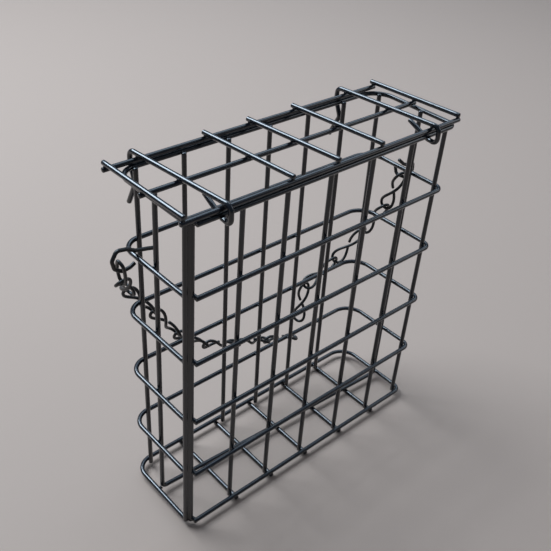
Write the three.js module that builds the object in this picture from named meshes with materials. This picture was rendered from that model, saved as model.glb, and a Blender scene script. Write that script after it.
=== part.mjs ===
// A welded-wire suet cage: a box of rings and upright wires, a hinged wire lid that latches at the
// back, and a chain of twisted figure-eight links that hangs behind the cage from two hooks.
// Millimetres. X runs along the long front, Y from front to back, Z up.
// The corner post stands at x = 0, y = 0; the lowest ring is level with z = 0.
import * as THREE from 'three';

// ---- driving dimensions ----
const WIRE = 2.0;                 // coated mesh wire
const STACK = 2.15;               // spacing of two wires that are welded across each other
const LENGTH = 128;               // between the ring centre lines of the two ends
const DEPTH_FLOOR = 39.2;         // front to back at the floor, centre lines
const DEPTH_RIM = 41.6;           // the cage opens slightly towards the rim
const ROWS = 5;
const ROW_PITCH = 28.2;
const HEIGHT = ROWS * ROW_PITCH;
const SIDES = 8;                  // flats of a wire's section

const FRONT_RIGHT_RADIUS = 3.6;   // ring bends
const BACK_RIGHT_RADIUS = 9;
const BACK_LEFT_RADIUS = 7;
const RING_START_X = 1.7;         // ring ends stop at the corner post
const RING_END_Y = 4.2;

const FRONT_UPRIGHTS = [21.9, 41.5, 61.9, 83.6, 105.2, 125];   // x, as the welding jig set them
const BACK_FIRST = 6.2;
const BACK_PITCH = 19.9;
const LEFT_MID_Y = 22.5;          // the wire that runs down one end, under the cage and up the other
const RIGHT_MID_Y = 16;
const MID_BEND = 2;
const UPRIGHT_TOP = HEIGHT + 0.8;
const UPRIGHT_FOOT = -1.0;

// the lid's sheet is slightly racked: x of each wire over the front rail and over the back rail
const LID_STRAIGHT = [[-3.1, -3.9], [41, 36.8], [62.3, 57.2], [84.5, 79.6], [128.3, 124.5]];
const LID_HOOKED = [[12.6, 8.2], [112.8, 107.8]];   // these carry the hinge curls and the latch clips
const RAIL_OVERHANG = 1.3;
const RAIL_Z = HEIGHT + STACK;
const CROSS_Z = RAIL_Z + STACK;

const HOOK_WIRE = 1.6;
const LINK_WIRE = 1.4;
const LINK_BULGE = 2.6;           // half the width of a link's loops, centre line
const LINK_NEST = 1.75;           // a link starts this far behind the wire that it hangs on
const LINK_PITCH = 19.95;
const LINK_LENGTH = LINK_PITCH + LINK_NEST;   // centre line, end to end
const STRAND_GAP = 0.9;           // half the spacing of the strands where they cross
const HOOK_RING_Z = 4 * ROW_PITCH;

const blackWire = { color: 0x15171b, roughness: 0.32, metalness: 0.15 };
const chainWire = { color: 0x121214, roughness: 0.38, metalness: 0.35 };

// ---- wire building ----

// A wire's centre line: stations are used exactly where they are, so straights cost one step.
class WirePath extends THREE.Curve {
  constructor(stations) {
    super();
    this.stations = stations;
  }
  getPoint(t, target = new THREE.Vector3()) {
    const last = this.stations.length - 1;
    const i = Math.min(Math.floor(t * last + 1e-9), last - 1);
    return target.lerpVectors(this.stations[i], this.stations[i + 1], t * last - i);
  }
  getPointAt(u, target) {
    return this.getPoint(u, target);
  }
  getTangentAt(u, target = new THREE.Vector3()) {
    const last = this.stations.length - 1;
    const i = Math.round(u * last);
    const before = this.stations[Math.max(i - 1, 0)];
    const here = this.stations[i];
    const after = this.stations[Math.min(i + 1, last)];
    const back = here.clone().sub(before).normalize();
    const ahead = after.clone().sub(here).normalize();
    return target.copy(back).add(ahead).normalize();
  }
}

function wireSection(diameter) {
  const r = (diameter / 2) * 1.03;
  const points = [];
  for (let i = 0; i < SIDES; i++) {
    const a = ((i + 0.5) / SIDES) * 2 * Math.PI;
    points.push(new THREE.Vector2(r * Math.cos(a), r * Math.sin(a)));
  }
  return new THREE.Shape(points);
}

function wireGeometry(stations, diameter) {
  return new THREE.ExtrudeGeometry(wireSection(diameter), {
    steps: stations.length - 1,
    bevelEnabled: false,
    extrudePath: new WirePath(stations),
  });
}

// Corners are [x, y, z] or [x, y, z, bend radius]; each bend becomes a true arc.
function bentWire(corners, radius = 3, degreesPerStep = 18) {
  const p = corners.map((c) => new THREE.Vector3(c[0], c[1], c[2]));
  const stations = [p[0]];
  for (let i = 1; i < p.length - 1; i++) {
    const toBack = p[i - 1].clone().sub(p[i]).normalize();
    const toAhead = p[i + 1].clone().sub(p[i]).normalize();
    const turn = Math.PI - toBack.angleTo(toAhead);
    const r = corners[i][3] ?? radius;
    const reach = r * Math.tan(turn / 2);
    const middle = toBack.clone().add(toAhead).normalize();
    const centre = p[i].clone().addScaledVector(middle, r / Math.cos(turn / 2));
    const from = p[i].clone().addScaledVector(toBack, reach).sub(centre);
    const axis = toAhead.clone().cross(toBack).normalize();
    const steps = Math.max(2, Math.ceil(THREE.MathUtils.radToDeg(turn) / degreesPerStep));
    for (let s = 0; s <= steps; s++) {
      stations.push(from.clone().applyAxisAngle(axis, (turn * s) / steps).add(centre));
    }
  }
  stations.push(p[p.length - 1]);
  return stations;
}

function wire(name, stations, diameter = WIRE, look = blackWire) {
  const mesh = new THREE.Mesh(wireGeometry(stations, diameter), new THREE.MeshStandardMaterial(look));
  mesh.name = name;
  return mesh;
}

const depthAt = (z) => DEPTH_FLOOR + ((DEPTH_RIM - DEPTH_FLOOR) * z) / HEIGHT;

// ---- the cage ----

function ring(name, z) {
  const depth = depthAt(z);
  return wire(name, bentWire([
    [RING_START_X, 0, z],
    [LENGTH, 0, z, FRONT_RIGHT_RADIUS],
    [LENGTH, depth, z, BACK_RIGHT_RADIUS],
    [0, depth, z, BACK_LEFT_RADIUS],
    [0, RING_END_Y, z],
  ]));
}

function upright(name, x, yFoot, yTop, foot = UPRIGHT_FOOT) {
  return wire(name, bentWire([[x, yFoot, foot], [x, yTop, UPRIGHT_TOP]]));
}

function cage() {
  const group = new THREE.Group();
  group.name = 'cage';
  for (let row = 0; row <= ROWS; row++) {
    group.add(ring(row === ROWS ? 'rim_ring' : `ring_${row}`, row * ROW_PITCH));
  }

  // the sheet's two edge wires stand side by side as the corner post
  group.add(upright('post_front_wire', 1.85, STACK + 0.05, STACK + 0.05, -1.5));
  group.add(upright('post_side_wire', -0.2, 2.95, 2.95, -0.6));

  FRONT_UPRIGHTS.forEach((x, i) => {
    group.add(upright(`front_upright_${i + 1}`, x, STACK, STACK));
  });
  for (let i = 0; i < 6; i++) {
    group.add(upright(`back_upright_${i + 1}`, BACK_FIRST + i * BACK_PITCH,
      DEPTH_FLOOR - STACK, DEPTH_RIM - STACK));
  }
  // the last one stands inside the rings' wide bend
  const bendInside = BACK_RIGHT_RADIUS - STACK;
  const bendAngle = THREE.MathUtils.degToRad(40);
  const inset = BACK_RIGHT_RADIUS - bendInside * Math.sin(bendAngle);
  group.add(upright('back_upright_7',
    LENGTH - BACK_RIGHT_RADIUS + bendInside * Math.cos(bendAngle),
    DEPTH_FLOOR - inset, DEPTH_RIM - inset));

  group.add(wire('mid_u_wire', bentWire([
    [STACK, LEFT_MID_Y, UPRIGHT_TOP],
    [STACK, LEFT_MID_Y, 0],
    [LENGTH - STACK, RIGHT_MID_Y, 0],
    [LENGTH - STACK, RIGHT_MID_Y, UPRIGHT_TOP],
  ], MID_BEND)));

  // floor wires lie under the lowest ring, each just beside its front upright
  for (let i = 0; i < 5; i++) {
    const x = FRONT_UPRIGHTS[i] + 2.1;
    group.add(wire(`floor_wire_${i + 1}`, bentWire([
      [x, -0.7, -STACK], [x, DEPTH_FLOOR + 1.0, -STACK],
    ])));
  }
  return group;
}

// ---- the lid ----

function lid() {
  const group = new THREE.Group();
  group.name = 'lid';
  const rails = { lid_rail_front: 0, lid_rail_middle: 20.9, lid_rail_back: DEPTH_RIM };
  const first = LID_STRAIGHT[0];
  const last = LID_STRAIGHT[LID_STRAIGHT.length - 1];
  for (const [name, y] of Object.entries(rails)) {
    const part = y / DEPTH_RIM;
    const left = THREE.MathUtils.lerp(...first, part) - RAIL_OVERHANG;
    const right = THREE.MathUtils.lerp(...last, part) + RAIL_OVERHANG;
    group.add(wire(name, bentWire([[left, y, RAIL_Z], [right, y, RAIL_Z]])));
  }
  LID_STRAIGHT.forEach(([front, back], i) => {
    group.add(wire(`lid_cross_${i}`, bentWire([
      [front, -0.8, CROSS_Z], [back, DEPTH_RIM + 1.2, CROSS_Z],
    ])));
  });

  // a hinge curl round the front rim, the straight across, and a snap clip behind the back rim
  const y = DEPTH_RIM;
  const z = HEIGHT;
  LID_HOOKED.forEach(([front, back], i) => {
    group.add(wire(`lid_hooked_wire_${i}`, bentWire([
      [front + 1.6, 12.4, z + 1.2],
      [front + 0.4, 1.6, z - 2.4, 2],
      [front, -3.3, z - 2.6, 2.2],
      [front, -3.3, CROSS_Z, 2.4],
      [back, y + 3.9, CROSS_Z, 2.2],
      [back, y + 4.2, z - 0.6, 3],
      [back, y + 1.3, z - 7.4, 2.4],
      [back, y + 6.0, z - 17],
    ])));
  });
  return group;
}

// ---- the chain ----

// The wires that the links hang on: each link's far end holds the next one. The left half runs from
// its hook down behind the cage, the right half from its hook round the corner to the same place.
const LEFT_ROUTE = [
  [-3.6, 35.4, 101.2], [4.6, 45.3, 87.6], [16.4, 45.5, 71.5], [27.5, 45.5, 54.9],
  [42.5, 45.5, 41.8], [60.6, 45.5, 33.4], [79.0, 45.5, 25.8], [97.4, 45.5, 18.4],
];
const RIGHT_ROUTE = [
  [133, 25.2, 105.9], [133, 31.5, 87.0], [131.9, 41.2, 69.6], [119.2, 45.5, 54.8],
  [100.5, 45.5, 47.8], [98.2, 45.5, 28.0],
];

// A figure of eight bent from one wire along +X. Its loop at the start lies in the XY plane and its
// loop at the end in the XZ plane; the wire's two ends meet at the waist.
function linkStations() {
  const stations = [];
  const steps = 36;
  for (let i = 0; i <= steps; i++) {
    const a = Math.PI / 2 + 0.06 + ((2 * Math.PI - 0.12) * i) / steps;
    const along = (LINK_LENGTH / 2) * (1 - Math.cos(a));
    const across = LINK_BULGE * Math.sin(2 * a);
    const lift = STRAND_GAP * Math.sin(a);
    const part = along / LINK_LENGTH;
    const twist = (Math.PI / 2) * part * part * (3 - 2 * part);
    stations.push(new THREE.Vector3(
      along,
      across * Math.cos(twist) - lift * Math.sin(twist),
      across * Math.sin(twist) + lift * Math.cos(twist),
    ));
  }
  return stations;
}

// Hangs a link on the wire at `from`, which runs along `normal`, and points it at `to`.
function placeLink(name, from, to, normal) {
  const along = to.clone().sub(from).normalize();
  const up = normal.clone().addScaledVector(along, -normal.dot(along)).normalize();
  const side = up.clone().cross(along);
  const mesh = wire(name, linkStations(), LINK_WIRE, chainWire);
  mesh.position.copy(from).addScaledVector(along, -LINK_NEST);
  mesh.quaternion.setFromRotationMatrix(new THREE.Matrix4().makeBasis(along, side, up));
  return { mesh, endWire: up };
}

function firstLink() {
  const top = new THREE.Vector3(-6.9, 30.6, 113.3);
  const along = new THREE.Vector3(...LEFT_ROUTE[0]).sub(top);
  const length = along.length();
  along.normalize();
  const side = new THREE.Vector3(0, 1, 0).addScaledVector(along, -along.y).normalize();
  const stations = [];
  const steps = 28;
  for (let i = 0; i <= steps; i++) {
    const a = 0.1 + ((2 * Math.PI - 0.2) * i) / steps + Math.PI / 2;
    stations.push(new THREE.Vector3(
      (length / 2) * (1 - Math.cos(a)),
      2.3 * Math.sign(Math.sin(a)) * Math.sqrt(Math.abs(Math.sin(a))),
      0,
    ));
  }
  const mesh = wire('chain_link_01', stations, LINK_WIRE, chainWire);
  mesh.position.copy(top);
  mesh.quaternion.setFromRotationMatrix(
    new THREE.Matrix4().makeBasis(along, side, along.clone().cross(side)));
  return { mesh, endWire: side };
}

function chain() {
  const group = new THREE.Group();
  group.name = 'chain';
  const z = HOOK_RING_Z;
  group.add(wire('chain_hook_left', bentWire([
    [8.8, 31.8, z + 0.3], [4.5, 31.8, z + 1.4], [0.2, 31.8, z + 2.3], [-3.6, 31.8, z + 4.3],
    [-7.4, 31.8, z + 5.0], [-9.4, 31.8, z + 1.4], [-8.6, 31.8, z - 2.0], [-5.6, 31.8, z - 4.0],
    [-2.4, 31.8, z - 3.6], [-0.3, 31.8, z - 2.4],
  ], 1.8, 30), HOOK_WIRE, chainWire));

  const first = firstLink();
  group.add(first.mesh);
  let normal = first.endWire;
  const left = LEFT_ROUTE.map((p) => new THREE.Vector3(...p));
  for (let i = 0; i + 1 < left.length; i++) {
    const link = placeLink(`chain_link_${String(i + 2).padStart(2, '0')}`, left[i], left[i + 1], normal);
    group.add(link.mesh);
    normal = link.endWire;
  }

  const right = RIGHT_ROUTE.map((p) => new THREE.Vector3(...p));
  let held = new THREE.Vector3(0, 1, 0);
  for (let i = 0; i + 1 < right.length; i++) {
    const number = String(13 - i).padStart(2, '0');
    const link = placeLink(`chain_link_${number}`, right[i], right[i + 1], held);
    group.add(link.mesh);
    held = link.endWire;
  }

  const x = LENGTH;
  group.add(wire('chain_hook_right', bentWire([
    [x - 6, 19.6, z + 6.6], [x - 2.4, 19.6, z + 3.6], [x + 0.4, 19.6, z + 2.3],
    [x + 4.4, 19.8, z + 2.2], [x + 5.6, 20.4, z - 1.8], [x + 5, 22.4, z - 6.6],
    [x + 5, 28.2, z - 7.1], [x + 5, 29.3, z - 3.4],
  ], 1.8, 30), HOOK_WIRE, chainWire));
  return group;
}

const root = new THREE.Group();
root.name = 'suet_cage';
const body = new THREE.Group();
// the origin is the middle of the cage's underside
body.position.set(-64, -DEPTH_FLOOR / 2, STACK + (WIRE / 2) * 1.03 * Math.cos(Math.PI / SIDES));
body.add(cage(), lid(), chain());
root.add(body);

export default root;
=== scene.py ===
"""Looks of a welded-wire suet cage: coated wires with filleted welds, a hinged lid and a chain.

Everything is in metres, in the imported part's frame. Lengths named *_MM are millimetres.
Wire paths are written in the cage's own frame, whose origin is where the centre lines of the lowest
ring's front and left sides would meet; `place` turns such a point into the part's frame.
"""
import math
import random

import bpy
from mathutils import Matrix, Vector


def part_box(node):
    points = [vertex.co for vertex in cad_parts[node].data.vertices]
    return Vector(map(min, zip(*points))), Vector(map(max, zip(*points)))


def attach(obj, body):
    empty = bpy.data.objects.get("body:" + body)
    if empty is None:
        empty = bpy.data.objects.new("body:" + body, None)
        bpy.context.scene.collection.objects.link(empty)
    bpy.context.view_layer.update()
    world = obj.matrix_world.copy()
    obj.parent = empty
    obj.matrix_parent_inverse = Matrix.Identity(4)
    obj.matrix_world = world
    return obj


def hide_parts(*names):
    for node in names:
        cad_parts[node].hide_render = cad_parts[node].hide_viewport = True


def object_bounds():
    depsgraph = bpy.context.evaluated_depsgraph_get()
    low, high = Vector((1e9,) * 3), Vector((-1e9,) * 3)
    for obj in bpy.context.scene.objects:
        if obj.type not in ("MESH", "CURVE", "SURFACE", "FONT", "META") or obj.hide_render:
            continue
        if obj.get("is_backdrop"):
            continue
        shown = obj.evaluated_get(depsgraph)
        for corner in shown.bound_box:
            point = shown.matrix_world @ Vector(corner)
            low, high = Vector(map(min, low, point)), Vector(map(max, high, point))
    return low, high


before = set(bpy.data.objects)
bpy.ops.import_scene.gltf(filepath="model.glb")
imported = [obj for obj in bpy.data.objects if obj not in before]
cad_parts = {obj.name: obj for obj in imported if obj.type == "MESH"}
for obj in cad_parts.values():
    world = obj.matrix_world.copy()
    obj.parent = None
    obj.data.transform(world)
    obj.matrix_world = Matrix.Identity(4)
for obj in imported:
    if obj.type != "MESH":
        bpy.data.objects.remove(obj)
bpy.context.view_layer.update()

MM = 0.001
random.seed(7)
X, Y, Z = Vector((1, 0, 0)), Vector((0, 1, 0)), Vector((0, 0, 1))

# ---- sizes, from the frame ----

floor_low, floor_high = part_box("floor_wire_3")
WIRE_R = (floor_high.z - floor_low.z) / 2
ring_low, ring_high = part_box("ring_0")
rim_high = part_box("rim_ring")[1]
cross_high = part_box("lid_cross_0")[1]
ORIGIN = Vector((ring_low.x + WIRE_R, ring_low.y + WIRE_R, (ring_low.z + ring_high.z) / 2))
HEIGHT_MM = (rim_high.z - WIRE_R - ORIGIN.z) / MM
LENGTH_MM = (ring_high.x - WIRE_R - ORIGIN.x) / MM
RIM_DEPTH_MM = (rim_high.y - WIRE_R - ORIGIN.y) / MM
CROSS_Z_MM = (cross_high.z - WIRE_R - ORIGIN.z) / MM
HOOK_RING_Z_MM = (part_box("ring_4")[0].z + WIRE_R - ORIGIN.z) / MM

# ---- sizes that a piece's box can't give ----

HOOK_R = 0.74 * MM
LINK_R = 0.66 * MM
FRONT_RIGHT_BEND_MM = 3.6
BACK_RIGHT_BEND_MM = 9.0
BACK_LEFT_BEND_MM = 7.0
RING_START_MM = 1.7
RING_END_MM = 4.2
MID_BEND_MM = 2.0
HOOK_BEND_MM = 1.8

# ---- the coating ----

WIRE_SIDES = 18
LINK_SIDES = 14
STEP = 3.0 * MM
DEGREES_PER_STEP = 6.0
UNEVEN = 0.012  # the coating's thinnest spots, as a share of the radius
KEPT, FRESH = 0.7, 0.3  # how slowly its thickness changes along the wire
BEAD = 0.03  # how much an end swells
DOME = 0.45  # how far an end's dome reaches, in radii
DOME_ROWS = 5


def place(x, y, z):
    return ORIGIN + Vector((x, y, z)) * MM


# ---- centre lines ----

def bent(corners, radius=None):
    """Corners are (x, y, z) or (x, y, z, bend radius) in cage millimetres; bends are true arcs."""
    p = [Vector(c[:3]) for c in corners]
    line = [p[0]]
    for i in range(1, len(p) - 1):
        to_back = (p[i - 1] - p[i]).normalized()
        to_ahead = (p[i + 1] - p[i]).normalized()
        turn = math.pi - to_back.angle(to_ahead)
        r = corners[i][3] if len(corners[i]) > 3 else radius
        centre = p[i] + (to_back + to_ahead).normalized() * (r / math.cos(turn / 2))
        start = p[i] + to_back * (r * math.tan(turn / 2)) - centre
        axis = to_ahead.cross(to_back).normalized()
        steps = max(3, math.ceil(math.degrees(turn) / DEGREES_PER_STEP))
        for s in range(steps + 1):
            line.append(Matrix.Rotation(turn * s / steps, 3, axis) @ start + centre)
    line.append(p[-1])
    return [place(*q) for q in line]


def refine(line):
    """Splits the straights, so that the coating's slight unevenness has somewhere to show."""
    out = [line[0]]
    for a, b in zip(line, line[1:]):
        n = max(1, math.ceil((b - a).length / STEP))
        out += [a.lerp(b, k / n) for k in range(1, n + 1)]
    return out


def straight(node, axis):
    """The centre line of a straight wire; z-wires may lean back, y-wires may lean to the left."""
    low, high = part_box(node)
    mid = (low + high) / 2
    if axis == "z":
        return [Vector((mid.x, low.y + WIRE_R, low.z)), Vector((mid.x, high.y - WIRE_R, high.z))]
    if axis == "y":
        return [Vector((high.x - WIRE_R, low.y, mid.z)), Vector((low.x + WIRE_R, high.y, mid.z))]
    return [Vector((low.x, mid.y, mid.z)), Vector((high.x, mid.y, mid.z))]


# ---- meshes ----

def make(name, verts, faces, material, body, slot, nodes=()):
    mesh = bpy.data.meshes.new(name)
    mesh.from_pydata([tuple(v) for v in verts], [], faces)
    mesh.validate()
    mesh.materials.append(material)
    for polygon in mesh.polygons:
        polygon.use_smooth = True
    piece = bpy.data.objects.new(name, mesh)
    bpy.context.scene.collection.objects.link(piece)
    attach(piece, body)
    if nodes:
        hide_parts(*nodes)
    return piece


def skin(rows, sides):
    """The faces between rings of vertices that follow each other."""
    faces = []
    for row in range(rows - 1):
        a, b = row * sides, (row + 1) * sides
        for k in range(sides):
            j = (k + 1) % sides
            faces.append((a + k, a + j, b + j, b + k))
    return faces


def capped(rows, sides):
    """The same, with a flat face over the first and the last ring."""
    first = tuple(range(sides))[::-1]
    last = tuple((rows - 1) * sides + k for k in range(sides))
    return skin(rows, sides) + [first, last]


def tube(line, radius, sides=WIRE_SIDES):
    """A round wire with a slightly uneven coating and rounded, faintly swollen ends."""
    tangents = []
    for i in range(len(line)):
        before = line[i] - line[i - 1] if i else line[1] - line[0]
        after = line[i + 1] - line[i] if i + 1 < len(line) else before
        tangents.append((before.normalized() + after.normalized()).normalized())
    helper = Z if abs(tangents[0].z) < 0.9 else X
    side = tangents[0].cross(helper).normalized()
    sections = []
    wave = 0.0
    for p, t in zip(line, tangents):
        side = (side - t * side.dot(t)).normalized()
        wave = KEPT * wave + FRESH * random.uniform(-1, 1)
        sections.append((p, t, side.copy(), radius * (1 - UNEVEN * (0.5 + 0.5 * wave))))

    # each end is a dome: rows as (distance from its widest ring, share of the radius)
    reach = DOME * radius
    dome = []
    for k in range(1, DOME_ROWS):
        a = math.pi / 2 * k / DOME_ROWS
        dome.append((reach * math.sin(a), math.cos(a)))
    first, last = sections[0], sections[-1]
    head = [(first[0] + first[1] * (reach - d), first[1], first[2], first[3] * w * (1 + BEAD * w))
            for d, w in reversed(dome)]
    tail = [(last[0] - last[1] * (reach - d), last[1], last[2], last[3] * w * (1 + BEAD * w))
            for d, w in dome]
    sections[0] = (first[0] + first[1] * reach, first[1], first[2],
                   min(first[3] * (1 + BEAD), radius))
    sections[-1] = (last[0] - last[1] * reach, last[1], last[2],
                    min(last[3] * (1 + BEAD), radius))
    sections = head + sections + tail

    verts = []
    for p, t, s, r in sections:
        up = t.cross(s)
        for k in range(sides):
            a = 2 * math.pi * k / sides
            verts.append(p + (s * math.cos(a) + up * math.sin(a)) * r)
    faces = skin(len(sections), sides)
    verts += [first[0], last[0]]
    end = (len(sections) - 1) * sides
    for k in range(sides):
        j = (k + 1) % sides
        faces.append((len(verts) - 2, j, k))
        faces.append((len(verts) - 1, end + k, end + j))
    return verts, faces


def wire(node, line, body, material, radius=WIRE_R, slot="cage_wire"):
    verts, faces = tube(refine(line), radius)
    return make(node.replace("_", "-") + "_coated", verts, faces, material, body, slot, (node,))


def fillet(pa, a, pb, b, rows=7, sides=24):
    """The coating's concave collar where two wires cross, each given by a point and a direction."""
    reach, sink, pinch = 0.9 * WIRE_R, 0.1 * MM, 0.3
    n = a.cross(b).normalized()
    if (pb - pa).dot(n) < 0:
        n = -n
    # the point of wire a's centre line that is nearest to wire b's
    w = pb - pa
    along_a = (w.dot(a) - w.dot(b) * a.dot(b)) / (1 - a.dot(b) ** 2)
    near = pa + a * along_a
    gap = w.dot(n)
    v = n.cross(a)
    verts = []
    for row in range(rows):
        t = row / (rows - 1)
        for k in range(sides):
            angle = 2 * math.pi * k / sides
            direction = a * math.cos(angle) + v * math.sin(angle)
            off_a = reach * abs(math.sin(angle))
            off_b = reach * direction.cross(b).length
            from_a = math.sqrt(max(WIRE_R * WIRE_R - off_a * off_a, 0)) - sink
            from_b = gap - math.sqrt(max(WIRE_R * WIRE_R - off_b * off_b, 0)) + sink
            waist = 1 - pinch * math.sin(math.pi * t)
            verts.append(near + direction * reach * waist + n * (from_a + (from_b - from_a) * t))
    return verts, capped(rows, sides)


def collar(start, end, rows=8, sides=24):
    """The coating's flared foot where a ring's end butts against the post."""
    root, spread = 0.9, 0.42
    along = (end - start).normalized()
    side = along.cross(Z).normalized()
    up = side.cross(along)
    verts = []
    for row in range(rows):
        t = row / (rows - 1)
        flare = WIRE_R * (root + spread * t * t)
        centre = start.lerp(end, t)
        for k in range(sides):
            a = 2 * math.pi * k / sides
            verts.append(centre + side * (math.cos(a) * min(flare, WIRE_R))
                         + up * (math.sin(a) * flare))
    return verts, capped(rows, sides)


def web(one, other, rows=90, sides=20):
    """A strip of coating between two upright wires side by side, hollowed along its middle."""
    bottom_gap, top_gap = 0.15 * MM, 0.4 * MM
    width, thickness, wobble, hollow = 0.8, 0.86, 0.03, 0.18
    low = max(one[0].z, other[0].z) + bottom_gap
    high = min(one[1].z, other[1].z) - top_gap
    a, b = Vector((one[0].x, one[0].y, 0)), Vector((other[0].x, other[0].y, 0))
    across = (b - a).normalized()
    out = across.cross(Z)
    middle, half = (a + b) / 2, (b - a).length / 2
    verts = []
    for row in range(rows):
        z = low + (high - low) * row / (rows - 1)
        depth = WIRE_R * (thickness + wobble * random.uniform(-1, 1))
        for k in range(sides):
            angle = 2 * math.pi * k / sides
            u = math.cos(angle)
            v = math.sin(angle) * (1 - hollow * (1 - abs(u)))
            verts.append(middle + across * (u * half * width) + out * (v * depth)
                         + Vector((0, 0, z)))
    return verts, capped(rows, sides)


def joined(parts):
    verts, faces = [], []
    for v, f in parts:
        faces += [tuple(len(verts) + i for i in face) for face in f]
        verts += v
    return verts, faces


# ---- materials ----

# each noise: scale, detail and, where it isn't 0.5, roughness
CLOUDS = (140, 4)
GLOSS = (700, 5)
GRAIN = (2600, 3, 0.6)
RIPPLE = (420, 2)
CLOUD_STOPS = (0.32, 0.7)
GRAIN_HEIGHT = 0.04 * MM
RIPPLE_HEIGHT = 0.12 * MM
RIPPLE_STRENGTH = 0.35
IOR = 1.5
COAT_ROUGHNESS = 0.12


def coated_wire(name, dark, light, rough, coat, bump):
    """Two blacks in soft clouds, uneven gloss, a gentle ripple and a grain as strong as bump."""
    material = bpy.data.materials.new(name)
    material.use_nodes = True
    nodes, links = material.node_tree.nodes, material.node_tree.links
    shader = nodes["Principled BSDF"]
    coordinates = nodes.new("ShaderNodeTexCoord")

    def noise(scale, detail, roughness=0.5):
        n = nodes.new("ShaderNodeTexNoise")
        n.inputs["Scale"].default_value = scale
        n.inputs["Detail"].default_value = detail
        n.inputs["Roughness"].default_value = roughness
        links.new(coordinates.outputs["Object"], n.inputs["Vector"])
        return n.outputs["Fac"]

    def relief(height, strength, distance):
        n = nodes.new("ShaderNodeBump")
        n.inputs["Strength"].default_value = strength
        n.inputs["Distance"].default_value = distance
        links.new(height, n.inputs["Height"])
        return n

    clouds = nodes.new("ShaderNodeValToRGB")
    stops = clouds.color_ramp.elements
    for stop, position, colour in zip(stops, CLOUD_STOPS, (dark, light)):
        stop.position, stop.color = position, (*colour, 1)
    links.new(noise(*CLOUDS), clouds.inputs["Fac"])
    links.new(clouds.outputs["Color"], shader.inputs["Base Color"])

    spread = nodes.new("ShaderNodeMapRange")
    spread.inputs["To Min"].default_value, spread.inputs["To Max"].default_value = rough
    links.new(noise(*GLOSS), spread.inputs["Value"])
    links.new(spread.outputs["Result"], shader.inputs["Roughness"])

    fine = relief(noise(*GRAIN), bump, GRAIN_HEIGHT)
    coarse = relief(noise(*RIPPLE), RIPPLE_STRENGTH, RIPPLE_HEIGHT)
    links.new(fine.outputs["Normal"], coarse.inputs["Normal"])
    links.new(coarse.outputs["Normal"], shader.inputs["Normal"])
    shader.inputs["Metallic"].default_value = 0.0
    shader.inputs["IOR"].default_value = IOR
    shader.inputs["Coat Weight"].default_value = coat
    shader.inputs["Coat Roughness"].default_value = COAT_ROUGHNESS
    return material


cage_look = coated_wire("dip_coated_black", dark=(0.0025, 0.003, 0.0045),
                        light=(0.007, 0.0095, 0.015), rough=(0.16, 0.30), coat=0.45, bump=0.35)
chain_look = coated_wire("painted_chain_black", dark=(0.003, 0.003, 0.0035),
                         light=(0.008, 0.008, 0.009), rough=(0.36, 0.56), coat=0.1, bump=0.6)

# ---- the cage ----

# where a ring's collar starts and ends, at the corner post
START_COLLAR_MM = ((RING_START_MM + 1.0, 0.2), (RING_START_MM + 0.5, 1.6))
END_COLLAR_MM = ((0, RING_END_MM + 0.5), (-0.1, RING_END_MM - 1.1))
RINGS = [f"ring_{i}" for i in range(5)] + ["rim_ring"]
FRONT = [f"front_upright_{i}" for i in range(1, 7)]
BACK = [f"back_upright_{i}" for i in range(1, 8)]
FLOOR = [f"floor_wire_{i}" for i in range(1, 6)]
POST = ["post_front_wire", "post_side_wire"]


def ring_level(node):
    """A ring's height and its depth from front to back."""
    low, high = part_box(node)
    z = ((low.z + high.z) / 2 - ORIGIN.z) / MM
    depth = (high.y - WIRE_R - ORIGIN.y) / MM
    return z, depth


lines = {}
for node in RINGS:
    z, depth = ring_level(node)
    lines[node] = bent([
        (RING_START_MM, 0, z),
        (LENGTH_MM, 0, z, FRONT_RIGHT_BEND_MM),
        (LENGTH_MM, depth, z, BACK_RIGHT_BEND_MM),
        (0, depth, z, BACK_LEFT_BEND_MM),
        (0, RING_END_MM, z),
    ])
for node in FRONT + BACK + POST:
    lines[node] = straight(node, "z")
for node in FLOOR:
    lines[node] = straight(node, "y")

mid_low, mid_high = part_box("mid_u_wire")
mid_top = (mid_high.z - ORIGIN.z) / MM
left_mid_y = (mid_high.y - WIRE_R - ORIGIN.y) / MM
right_mid_y = (mid_low.y + WIRE_R - ORIGIN.y) / MM
left_mid_x = (mid_low.x + WIRE_R - ORIGIN.x) / MM
right_mid_x = (mid_high.x - WIRE_R - ORIGIN.x) / MM
lines["mid_u_wire"] = bent([
    (left_mid_x, left_mid_y, mid_top), (left_mid_x, left_mid_y, 0),
    (right_mid_x, right_mid_y, 0), (right_mid_x, right_mid_y, mid_top),
], MID_BEND_MM)
for node, line in lines.items():
    wire(node, line, "cage", cage_look)

welds = []
left_mid, right_mid = place(left_mid_x, left_mid_y, 0), place(right_mid_x, right_mid_y, 0)
for ring in RINGS:
    z, depth = ring_level(ring)
    level = place(0, 0, z)
    for node in FRONT:
        welds.append(fillet(lines[node][0], Z, level, X))
    for node in BACK[:-1]:
        foot, top = lines[node]
        welds.append(fillet(foot, (top - foot).normalized(), place(0, depth, z), X))
    # the last back upright stands in the wide bend
    foot, top = lines[BACK[-1]]
    here = foot.lerp(top, (level.z - foot.z) / (top.z - foot.z))
    middle = place(LENGTH_MM - BACK_RIGHT_BEND_MM, depth - BACK_RIGHT_BEND_MM, z)
    outward = (here - middle).normalized()
    welds.append(fillet(foot, (top - foot).normalized(),
                        middle + outward * BACK_RIGHT_BEND_MM * MM, outward.cross(Z)))
    welds.append(fillet(left_mid, Z, level, Y))
    welds.append(fillet(right_mid, Z, place(LENGTH_MM, 0, z), Y))
    for start, end in (START_COLLAR_MM, END_COLLAR_MM):
        welds.append(collar(place(*start, z), place(*end, z)))
slope = (right_mid - left_mid).normalized()
floor_depth = ring_level("ring_0")[1]
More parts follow.
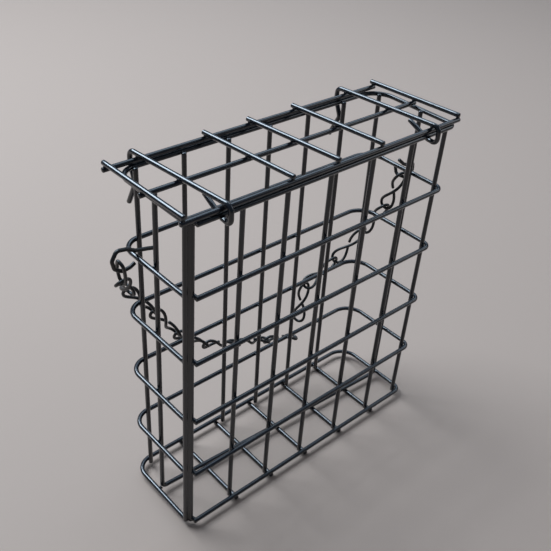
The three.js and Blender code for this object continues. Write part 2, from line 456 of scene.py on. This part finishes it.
for node in FLOOR:
    start = lines[node][0]
    welds.append(fillet(start, Y, place(0, 0, 0), X))
    welds.append(fillet(start, Y, place(0, floor_depth, 0), X))
    welds.append(fillet(start, Y, left_mid, slope))
make("cage_welds", *joined(welds), cage_look, "cage", "cage_wire")
# the coating fills the groove between the corner post's two wires
make("post_groove", *web(lines["post_front_wire"], lines["post_side_wire"]),
     cage_look, "cage", "cage_wire")

# ---- the lid ----

RAILS = ["lid_rail_front", "lid_rail_middle", "lid_rail_back"]
CROSSES = [f"lid_cross_{i}" for i in range(5)]
HOOKED = ["lid_hooked_wire_0", "lid_hooked_wire_1"]
TAIL_SHIFT_MM = 1.6
CURL_Y_MM = -3.3
CLIP_TOP_MM = 3.9
for node in RAILS:
    wire(node, straight(node, "x"), "lid", cage_look)
for node in CROSSES:
    lines[node] = straight(node, "y")
    wire(node, lines[node], "lid", cage_look)
for node in HOOKED:
    low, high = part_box(node)
    front = (high.x - WIRE_R - ORIGIN.x) / MM - TAIL_SHIFT_MM
    back = (low.x + WIRE_R - ORIGIN.x) / MM
    y, z = RIM_DEPTH_MM, HEIGHT_MM
    # from the tail, inside the cage, round the front rim, back over the lid and down into the clip
    wire(node, bent([
        (front + TAIL_SHIFT_MM, 12.4, z + 1.2),
        (front + 0.4, 1.6, z - 2.4, 2),
        (front, CURL_Y_MM, z - 2.6, 2.2),
        (front, CURL_Y_MM, CROSS_Z_MM, 2.4),
        (back, y + CLIP_TOP_MM, CROSS_Z_MM, 2.2),
        (back, y + 4.2, z - 0.6, 3),
        (back, y + 1.3, z - 7.4, 2.4),
        (back, y + 6.0, z - 17),
    ]), "lid", cage_look)
    lines[node] = [place(front, CURL_Y_MM, CROSS_Z_MM), place(back, y + CLIP_TOP_MM, CROSS_Z_MM)]
lid_welds = []
for node in CROSSES + HOOKED:
    start, end = lines[node]
    for rail in RAILS:
        lid_welds.append(fillet(straight(rail, "x")[0], X, start, (end - start).normalized()))
make("lid_welds", *joined(lid_welds), cage_look, "lid", "cage_wire")

# ---- the chain ----

BULGE_MM = 2.6
NEST_MM = 1.75
PITCH_MM = 19.95
STRAND_GAP_MM = 0.9
OVAL_HALF_WIDTH_MM = 2.3
EIGHT_OPENING = 0.06  # half the gap between the wire's ends, in radians round the loop
OVAL_OPENING = 0.1
FIRST_TOP = (-6.9, 30.6, 113.3)
LEFT_ROUTE = [
    (-3.6, 35.4, 101.2), (4.6, 45.3, 87.6), (16.4, 45.5, 71.5), (27.5, 45.5, 54.9),
    (42.5, 45.5, 41.8), (60.6, 45.5, 33.4), (79.0, 45.5, 25.8), (97.4, 45.5, 18.4),
]
RIGHT_ROUTE = [
    (133, 25.2, 105.9), (133, 31.5, 87.0), (131.9, 41.2, 69.6), (119.2, 45.5, 54.8),
    (100.5, 45.5, 47.8), (98.2, 45.5, 28.0),
]
# x from the cage's left or right side, y from its front, z from ring_4
LEFT_HOOK = [
    (8.8, 31.8, 0.3), (4.5, 31.8, 1.4), (0.2, 31.8, 2.3), (-3.6, 31.8, 4.3),
    (-7.4, 31.8, 5.0), (-9.4, 31.8, 1.4), (-8.6, 31.8, -2.0), (-5.6, 31.8, -4.0),
    (-2.4, 31.8, -3.6), (-0.3, 31.8, -2.4),
]
RIGHT_HOOK = [
    (-6, 19.6, 6.6), (-2.4, 19.6, 3.6), (0.4, 19.6, 2.3), (4.4, 19.8, 2.2),
    (5.6, 20.4, -1.8), (5, 22.4, -6.6), (5, 28.2, -7.1), (5, 29.3, -3.4),
]


def eight(start, end, normal, steps=96):
    """A figure-eight link from start, on a wire that runs along normal, towards end."""
    along = (end - start).normalized()
    up = (normal - along * normal.dot(along)).normalized()
    side = up.cross(along)
    length = PITCH_MM + NEST_MM
    line = []
    for i in range(steps + 1):
        a = math.pi / 2 + EIGHT_OPENING + (2 * math.pi - 2 * EIGHT_OPENING) * i / steps
        u = length / 2 * (1 - math.cos(a))
        across, lift = BULGE_MM * math.sin(2 * a), STRAND_GAP_MM * math.sin(a)
        part = u / length
        twist = math.pi / 2 * part * part * (3 - 2 * part)
        line.append(start + along * (u - NEST_MM)
                    + side * (across * math.cos(twist) - lift * math.sin(twist))
                    + up * (across * math.sin(twist) + lift * math.cos(twist)))
    return [place(*p) for p in line], up


def oval(top, end, steps=64):
    """The plain first link, from the hook's eye to the next link's loop."""
    along = end - top
    length = along.length
    along.normalize()
    side = (Y - along * along.y).normalized()
    line = []
    for i in range(steps + 1):
        a = math.pi / 2 + OVAL_OPENING + (2 * math.pi - 2 * OVAL_OPENING) * i / steps
        s = math.sin(a)
        line.append(top + along * (length / 2 * (1 - math.cos(a)))
                    + side * (OVAL_HALF_WIDTH_MM * math.copysign(math.sqrt(abs(s)), s)))
    return [place(*p) for p in line], side


def link(number, line):
    node, body = f"chain_link_{number:02d}", f"link_{number:02d}"
    verts, faces = tube(line, LINK_R, LINK_SIDES)
    make(f"chain-link-{number:02d}_wire", verts, faces, chain_look, body, "chain_wire", (node,))


def hang(route, held, numbers):
    """A run of figure-eight links along a route; held is the direction of the wire it starts on."""
    for number, start, end in zip(numbers, route, route[1:]):
        line, held = eight(Vector(start), Vector(end), held)
        link(number, line)


def hook(node, path, x, body):
    corners = [(x + dx, y, HOOK_RING_Z_MM + dz) for dx, y, dz in path]
    wire(node, bent(corners, HOOK_BEND_MM), body, chain_look, HOOK_R, "chain_wire")


line, held = oval(Vector(FIRST_TOP), Vector(LEFT_ROUTE[0]))
link(1, line)
# the chain is open between link 08 and link 09
hang(LEFT_ROUTE, held, range(2, 9))
hang(RIGHT_ROUTE, Y, range(13, 8, -1))
hook("chain_hook_left", LEFT_HOOK, 0, "hook_left")
hook("chain_hook_right", RIGHT_HOOK, LENGTH_MM, "hook_right")

# ---- floor, light and camera ----

FLOOR_HALF = 2.5
FLOOR_COLOUR = (0.385, 0.295, 0.243, 1)
FLOOR_ROUGHNESS = 0.9
SKY_COLOUR = (0.58, 0.76, 1.0, 1)
SKY_STRENGTH = 0.14
LIT_POINT = Vector((0, 0, 0.07))
SENSOR_WIDTH = 36
LENS = 51.27
NEAREST = 0.01
CAMERA_AT_MM = (-119.5, -160.6, 266.5)
CAMERA_RIGHT = (0.747, -0.6616, 0.065)
CAMERA_UP = (0.345, 0.4694, 0.8128)

ground = bpy.data.meshes.new("ground")
square = [(-1, -1), (1, -1), (1, 1), (-1, 1)]
ground.from_pydata([(x * FLOOR_HALF, y * FLOOR_HALF, 0) for x, y in square], [], [(0, 1, 2, 3)])
floor = bpy.data.objects.new("ground", ground)
bpy.context.scene.collection.objects.link(floor)
pale = bpy.data.materials.new("pale_ground")
pale.use_nodes = True
pale_shader = pale.node_tree.nodes["Principled BSDF"]
pale_shader.inputs["Base Color"].default_value = FLOOR_COLOUR
pale_shader.inputs["Roughness"].default_value = FLOOR_ROUGHNESS
ground.materials.append(pale)
floor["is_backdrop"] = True

world = bpy.data.worlds.new("studio")
bpy.context.scene.world = world
world.use_nodes = True
background = world.node_tree.nodes["Background"]
background.inputs["Color"].default_value = SKY_COLOUR
background.inputs["Strength"].default_value = SKY_STRENGTH


def softbox(name, at, size, power, colour):
    data = bpy.data.lights.new(name, "AREA")
    data.size, data.energy, data.color = size, power, colour
    lamp = bpy.data.objects.new(name, data)
    lamp.location = at
    lamp.rotation_euler = (LIT_POINT - Vector(at)).to_track_quat("-Z", "Y").to_euler()
    bpy.context.scene.collection.objects.link(lamp)


softbox("back", (-0.22, 0.68, 1.0), 0.7, 22, (0.72, 0.86, 1.0))
softbox("top", (0.55, 0.35, 1.0), 0.9, 5, (0.66, 0.82, 1.0))
softbox("right", (0.9, -0.5, 0.6), 0.6, 1.5, (0.90, 0.94, 1.0))

camera_data = bpy.data.cameras.new("camera")
camera_data.sensor_width = SENSOR_WIDTH
camera_data.lens = LENS
camera_data.clip_start = NEAREST
camera = bpy.data.objects.new("camera", camera_data)
camera_right = Vector(CAMERA_RIGHT).normalized()
camera_up = Vector(CAMERA_UP)
camera_up = (camera_up - camera_right * camera_up.dot(camera_right)).normalized()
turn = Matrix((camera_right, camera_up, camera_right.cross(camera_up))).transposed()
camera.matrix_world = Matrix.Translation(place(*CAMERA_AT_MM)) @ turn.to_4x4()
bpy.context.scene.collection.objects.link(camera)
bpy.context.scene.camera = camera
bpy.context.scene.view_settings.view_transform = "Standard"

low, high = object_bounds()
